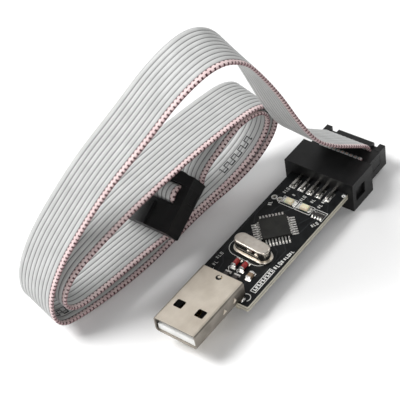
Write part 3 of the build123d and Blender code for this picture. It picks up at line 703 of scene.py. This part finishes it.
def add_solder():
    """Solder at the header's pins and the shell's legs, on both faces of the board."""
    vertices, faces = [], []

    def gather(part):
        start = len(vertices)
        vertices.extend(part[0])
        faces.extend(tuple(start + corner for corner in face) for face in part[1])

    for y in HEADER_ROWS:
        for under in (False, True):
            for side in (-1, 1):
                gather(fillet_of_solder(21.95, y + side * 0.55, 1.4, 0.33, 0.45, under))
            gather(fillet_of_solder(20.85, y, 0.45, 0.5, 0.25, under))
    for y in (-6.25, 6.25):
        gather(fillet_of_solder(-16.4, y, 0.95, 0.5, 0.55, False))
    for y in (-5.7, 5.7):
        gather(fillet_of_solder(-16.4, y, 1.25, 0.75, 0.5, True, 0.5))
    solder = add_mesh("solder_fillets", vertices, faces, "stick", ["solder"], smooth=True)
    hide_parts("solder_joints")


def add_shell_tabs():
    """Small three-sided tabs pressed out of both sides of the plug's shell."""
    vertices, faces = [], []
    low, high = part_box("usb_shell")
    for side, face in ((-1, low.y), (1, high.y)):
        for x in (-22.9, -18.9):
            outlines = []
            for size, lift in ((0.75, -0.01), (0.45, 0.22), (0.15, 0.28)):
                corners = [(-size, -0.8 * size), (size, -0.8 * size), (0.0, 0.9 * size)]
                outline = [(x * MM + a * MM, face + side * lift * MM, (7.5 + b) * MM) for a, b in corners]
                outlines.append(outline if side < 0 else outline[::-1])
            part = lofted(outlines)
            start = len(vertices)
            vertices += part[0]
            faces += [tuple(start + corner for corner in polygon) for polygon in part[1]]
    add_mesh("shell_tabs", vertices, faces, "stick", ["tab"])


add_legend()
add_shell_tabs()
add_pads()
add_traces()
add_solder()


# ---------------------------------------------------------------- ribbon
RIBBON_WIDTH = CONDUCTORS * CONDUCTOR_PITCH
RIBBON_THICK = 0.9 * MM
RIBBON_ROUTE = [
    (39.6, 0.0, 7.45),
    (39.1, 0.0, 9.1),
    (36.2, 0.0, 11.4),
    (31.6, 0.2, 15.1),
    (26.6, 0.8, 18.9),
    (21.5, 2.0, 24.0),
    (17.8, 3.6, 32.6),
    (14.6, 5.0, 42.4),
    (11.0, 6.0, 51.0),
    (6.4, 6.6, 59.6),
    (-1.0, 8.0, 63.6),
    (-9.4, 12.4, 58.8),
    (-18.0, 17.2, 50.0),
    (-26.4, 22.2, 41.8),
    (-33.8, 26.6, 32.6),
    (-40.0, 30.4, 23.6),
    (-44.6, 32.4, 14.2),
    (-43.8, 32.8, 5.2),
    (-36.0, 32.2, 2.5),
    (-26.0, 30.6, 1.9),
    (-15.0, 29.2, 1.8),
    (-4.0, 28.8, 2.2),
    (7.0, 28.2, 2.7),
    (17.0, 25.4, 4.6),
    (25.0, 21.9, 10.0),
    (30.6, 20.3, 16.4),
    (28.6, 19.5, 24.0),
    (22.4, 19.4, 28.4),
    (13.4, 20.2, 29.3),
    (3.0, 21.8, 29.0),
    (-8.0, 23.6, 27.8),
    (-19.0, 25.4, 26.2),
    (-29.6, 27.4, 23.2),
    (-38.8, 29.5, 19.6),
    (-42.4, 31.0, 12.8),
    (-38.8, 31.4, 7.1),
    (-28.6, 30.2, 6.5),
    (-17.0, 28.6, 7.0),
    (-5.0, 26.8, 7.0),
    (7.0, 25.0, 8.0),
    (17.4, 23.3, 9.7),
    (24.6, 21.2, 14.6),
    (27.2, 20.0, 20.6),
    (24.4, 19.4, 25.6),
    (19.0, 20.3, 27.0),
    (14.2, 21.5, 25.4),
    (9.6, 22.5, 22.6),
    (5.8, 23.6, 20.0),
    (3.4, 24.3, 17.2),
    (2.6, 24.5, 14.2),
    (0.5, 24.4, 12.9),
    (-1.2, 24.2, 14.3),
]
# The ribbon's width turns slowly along it: length in millimetres, turn and lean in degrees.
RIBBON_TURNS = [
    (0, 0, 0),
    (20, 3, 1),
    (45, 10, 7),
    (66, 18, 14),
    (105, 18, 14),
    (145, 11, 8),
    (200, 9, 8),
    (405, 8, 10),
    (432, 0, 0),
]
FOLD_MID_DEPTH = 9.75
FOLD_RADIUS = 2.1
FOLD_MID_HEIGHT = -1.3
FOLD_CUT_HEIGHT = 3.45
SOCKET_EXIT_HEIGHT = 3.05


def seat_matrix(origin, depth_axis, height_axis):
    """Place of a socket: its depth, width and height axes and the middle of its mating face."""
    depth = Vector(depth_axis).normalized()
    height = Vector(height_axis).normalized()
    turn = Matrix((depth, height.cross(depth), height)).transposed()
    return Matrix.Translation(Vector(origin) * MM) @ turn.to_4x4()


SEATS = {
    "near": seat_matrix((27.75, 0.0, 4.4), (1, 0, 0), (0, 0, 1)),
    "far": seat_matrix((-14.0, 24.2, 12.8), (0.866, 0, 0.5), (0.5, 0, -0.866)),
}


def spline_points(name, points):
    """Points along the smooth NURBS line that the route's points control."""
    curve = bpy.data.curves.new(name, "CURVE")
    curve.dimensions = "3D"
    spline = curve.splines.new("NURBS")
    spline.points.add(len(points) - 1)
    for control, point in zip(spline.points, points):
        control.co = (*point, 1.0)
    spline.order_u = 3
    spline.use_endpoint_u = True
    spline.resolution_u = 10
    holder = bpy.data.objects.new(name, curve)
    bpy.context.scene.collection.objects.link(holder)
    mesh = bpy.data.meshes.new_from_object(holder)
    line = [vertex.co.copy() for vertex in mesh.vertices]
    bpy.data.objects.remove(holder)
    bpy.data.meshes.remove(mesh)
    return line


def lengths_along(line):
    """Length from the start to each point of a line."""
    steps = [0.0] + [(after - before).length for before, after in zip(line[:-1], line[1:])]
    return np.cumsum(steps)


def ribbon_section():
    """Outline of the ribbon's section: ten ribs side by side, as (across, height, conductor place)."""
    ribs = []
    samples = 6
    for conductor in range(CONDUCTORS):
        for sample in range(samples):
            share = sample / samples
            ribs.append((conductor + share, math.sqrt(1 - (0.84 * (2 * share - 1)) ** 2)))
    ribs.append((CONDUCTORS, math.sqrt(1 - 0.84**2)))
    upper = [(place, rise) for place, rise in ribs]
    lower = [(place, -rise) for place, rise in reversed(ribs)]
    outline = []
    for place, rise in upper + lower:
        outline.append(((place / CONDUCTORS - 0.5) * RIBBON_WIDTH, rise * RIBBON_THICK / 2, place / CONDUCTORS))
    return outline


def add_ribbon(name, line, widths, body, start_length=0.0):
    """A ribbed band along a line. Each width points from the plain edge to the marked edge."""
    outline = ribbon_section()
    along = lengths_along(line) + start_length
    vertices, faces = [], []
    for index, point in enumerate(line):
        tangent = (line[min(index + 1, len(line) - 1)] - line[max(index - 1, 0)]).normalized()
        width = (widths[index] - widths[index].dot(tangent) * tangent).normalized()
        normal = tangent.cross(width)
        vertices += [point - width * across + normal * height for across, height, _ in outline]
    count = len(outline)
    for ring in range(len(line) - 1):
        for corner in range(count):
            following = (corner + 1) % count
            first, second = ring * count, (ring + 1) * count
            faces.append((first + corner, first + following, second + following, second + corner))
    faces.append(tuple(range(count - 1, -1, -1)))
    faces.append(tuple(range((len(line) - 1) * count, len(line) * count)))
    piece = add_mesh(name, vertices, faces, body, ["ribbon", "marked"], smooth=True)
    mesh = piece.data
    chart = mesh.uv_layers.new(name="ribbon")
    for polygon in mesh.polygons:
        places, on_other_face = [], True
        for loop in polygon.loop_indices:
            ring, corner = divmod(mesh.loops[loop].vertex_index, count)
            chart.data[loop].uv = (along[ring], outline[corner][2])
            places.append(outline[corner][2])
            on_other_face = on_other_face and corner >= count // 2
        if len(places) == 4 and sum(places) / 4 < 1 / CONDUCTORS:
            polygon.material_index = 1
        if on_other_face:
            for loop in polygon.loop_indices:
                chart.data[loop].uv[1] += OTHER_FACE
    return piece


def ribbon_widths(line):
    """Direction of the ribbon's width at each point of its line."""
    along = lengths_along(line) / MM
    keys, turns, leans = zip(*RIBBON_TURNS)
    widths = []
    for turn, lean in zip(np.interp(along, keys, turns), np.interp(along, keys, leans)):
        turn, lean = math.radians(turn), math.radians(lean)
        level = math.cos(lean)
        widths.append(Vector((-math.sin(turn) * level, -math.cos(turn) * level, -math.sin(lean))))
    return widths


def add_free_ribbon():
    """The free ribbon from the near socket's exit to the far socket's."""
    far_exit = SEATS["far"] @ (Vector((11.85, 0.0, SOCKET_EXIT_HEIGHT)) * MM)
    line = spline_points("ribbon_route", [Vector(point) * MM for point in RIBBON_ROUTE] + [far_exit])
    ribbon = add_ribbon("ribbon_cable", line, ribbon_widths(line), "cable")
    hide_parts("ribbon_lead", "ribbon_loops")
    return ribbon, line


def fold_line():
    """The ribbon inside a socket, in the socket's own frame: cut end, front layer, turn, rear layer."""
    front = FOLD_MID_DEPTH - FOLD_RADIUS
    line = [(front, height) for height in np.linspace(FOLD_CUT_HEIGHT, FOLD_MID_HEIGHT, 6)]
    for angle in np.linspace(math.pi, 2 * math.pi, 17)[1:]:
        depth = FOLD_MID_DEPTH + FOLD_RADIUS * math.cos(angle)
        line.append((depth, FOLD_MID_HEIGHT + FOLD_RADIUS * math.sin(angle)))
    rear = FOLD_MID_DEPTH + FOLD_RADIUS
    line += [(rear, height) for height in np.linspace(FOLD_MID_HEIGHT, SOCKET_EXIT_HEIGHT, 6)[1:]]
    return [Vector((depth, 0.0, height)) * MM for depth, height in line]


def add_folds():
    """The ribbon held in each socket, and the cut copper wires at its ends."""
    pieces = []
    for end, seat in SEATS.items():
        line = [seat @ point for point in fold_line()]
        towards_marked = Vector((0, -1, 0))
        fold = add_ribbon(f"{end}_fold_ribs", line, [towards_marked] * len(line), "cable")
        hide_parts(f"{end}_ribbon_fold")
        pieces.append(fold)
        pieces.append(add_wire_ends(end, line[0], (line[0] - line[1]).normalized(), towards_marked))
    return pieces


def add_wire_ends(end, place, outward, across):
    """Ten stranded copper ends, each a centre strand and six round it."""
    vertices, faces = [], []
    sideways = outward.cross(across)
    strand_radius = 0.08 * MM
    sides = 8
    for conductor in range(CONDUCTORS):
        middle = place + across * (conductor - (CONDUCTORS - 1) / 2) * CONDUCTOR_PITCH
        for strand in range(7):
            angle = strand * math.pi / 3
            reach = 0.165 * MM if strand < 6 else 0.0
            centre = middle + (across * math.cos(angle) + sideways * math.sin(angle)) * reach
            start = len(vertices)
            for lift in (-0.1 * MM, 0.03 * MM):
                for side in range(sides):
                    turn = 2 * math.pi * side / sides
                    rim = across * math.cos(turn) + sideways * math.sin(turn)
                    vertices.append(centre + rim * strand_radius + outward * lift)
            for side in range(sides):
                following = (side + 1) % sides
                faces.append((start + side, start + following, start + sides + following, start + sides + side))
            faces.append(tuple(start + sides + side for side in range(sides)))
            faces.append(tuple(start + side for side in reversed(range(sides))))
    return add_mesh(f"{end}_wire_ends", vertices, faces, "cable", ["copper"])


ribbon, ribbon_line = add_free_ribbon()
fold_pieces = add_folds()


# ---------------------------------------------------------------- floor and light
def add_floor():
    mesh = bpy.data.meshes.new("floor")
    reach = 1.5
    corners = [(-reach, -reach, 0), (reach, -reach, 0), (reach, reach, 0), (-reach, reach, 0)]
    mesh.from_pydata(corners, [], [(0, 1, 2, 3)])
    shader = Shader("floor_paint", Roughness=0.7)
    shader.paint(Base_Color=shader.mix(shader.noise(6.0), (0.90, 0.90, 0.90), (0.93, 0.93, 0.93)))
    mesh.materials.append(shader.material)
    floor = bpy.data.objects.new("floor", mesh)
    bpy.context.scene.collection.objects.link(floor)


def add_light(name, place, power, size):
    """A soft square light that faces the object."""
    data = bpy.data.lights.new(name, "AREA")
    data.energy = power
    data.size = size
    light = bpy.data.objects.new(name, data)
    light.location = place
    light.rotation_euler = (Vector((0, 0.01, 0.02)) - Vector(place)).to_track_quat("-Z", "Y").to_euler()
    bpy.context.scene.collection.objects.link(light)


def add_studio():
    add_floor()
    add_light("key_light", (-0.35, 0.45, 0.75), 9.2, 0.4)
    add_light("back_card", (0.55, 0.48, 0.77), 1.8, 0.9)
    add_light("front_light", (-0.55, -0.55, 0.55), 2.1, 0.4)
    add_light("side_light", (0.6, -0.25, 0.5), 1.2, 0.4)
    world = bpy.data.worlds.new("studio")
    world.use_nodes = True
    world.node_tree.nodes["Background"].inputs["Color"].default_value = (1.0, 1.0, 1.0, 1.0)
    world.node_tree.nodes["Background"].inputs["Strength"].default_value = 0.22
    bpy.context.scene.world = world
    bpy.context.scene.view_settings.view_transform = "Standard"


add_studio()
